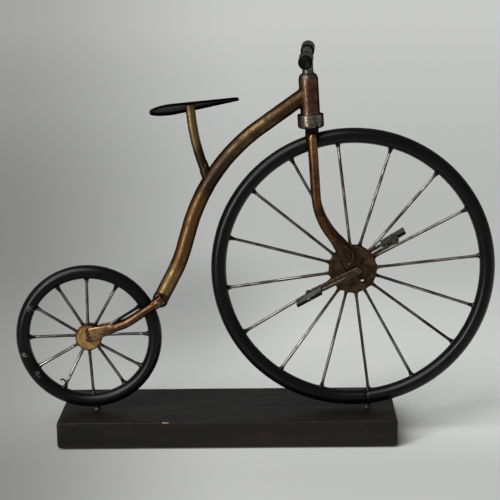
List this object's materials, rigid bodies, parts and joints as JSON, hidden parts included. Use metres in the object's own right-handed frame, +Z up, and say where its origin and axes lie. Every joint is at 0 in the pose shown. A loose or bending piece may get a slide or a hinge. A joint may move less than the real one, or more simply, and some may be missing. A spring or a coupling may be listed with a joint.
{
  "type": "table model of a penny farthing bicycle",
  "caption": "Small metal penny farthing on a wooden plinth: large and small ring wheels with wire spokes, arched tube backbone, fork, saddle, handlebar, cranks and pedals that turn.",
  "frame": {"origin": "on the surface it stands on, below the middle of the whole object", "axes": "+X towards the bicycle's front, +Y its left side, +Z up"},
  "size_m": [0.5398, 0.1714, 0.4411],
  "materials": {
    "stained_wood": "near-black brown stain, satin",
    "foot_rubber": "matt",
    "black_ring": "black satin paint",
    "steel_stud": "dull bare steel",
    "dark_bronze": "dark brown patina",
    "gold_disc": "mottled ochre gold",
    "spoke_steel": "drawn wire with dark streaks",
    "copper": "copper red with brown patina",
    "bronze": "rubbed gold over dark brown",
    "pewter": "dull grey, warm marks",
    "dark_steel": "black, worn",
    "aged_brass": "silvery brass with dark grooves",
    "black_gloss": "gloss black",
    "grip_rubber": "soft matt black",
    "pedal_rubber": "ribbed dark rubber"
  },
  "bodies": {
    "model": {"plinth": "stained_wood", "plinth_feet": "foot_rubber", "front_ring": "black_ring", "front_stud": "steel_stud", "front_hub_barrel": "dark_bronze", "front_hub_disc_right": "dark_bronze", "front_hub_disc_left": "dark_bronze", "front_spokes_right": "spoke_steel", "front_spokes_left": "spoke_steel", "rear_ring": "black_ring", "rear_stud": "steel_stud", "rear_hub_barrel": "gold_disc", "rear_hub_disc_right": "gold_disc", "rear_hub_disc_left": "pewter", "rear_spokes_right": "spoke_steel", "rear_spokes_left": "spoke_steel", "head_tube": "copper", "head_cap": "pewter", "head_cup": "pewter", "handlebar": "pewter", "stem": "pewter", "rear_crown": "copper", "backbone": "bronze", "saddle": "black_gloss", "seat_post": "bronze", "grip_right": "grip_rubber", "grip_left": "grip_rubber", "fork_blade_right": "copper", "fork_blade_left": "copper", "fork_crown": "dark_steel", "rear_stay_right": "copper", "rear_stay_left": "copper", "crank_right": "aged_brass", "crank_left": "aged_brass", "front_axle": "dark_bronze", "rear_axle": "dark_steel"},
    "pedal_right": {"pedal_right": "pedal_rubber"},
    "pedal_left": {"pedal_left": "pedal_rubber"}
  },
  "joints": [
    {"name": "pedal_right_spin", "type": "hinge", "parent": "model", "child": "pedal_right", "pos_m": [0.06194, 0, 0.16889], "axis": [0, 1, 0], "continuous": true},
    {"name": "pedal_left_spin", "type": "hinge", "parent": "model", "child": "pedal_left", "pos_m": [0.15852, 0, 0.22133], "axis": [0, 1, 0], "continuous": true}
  ]
}
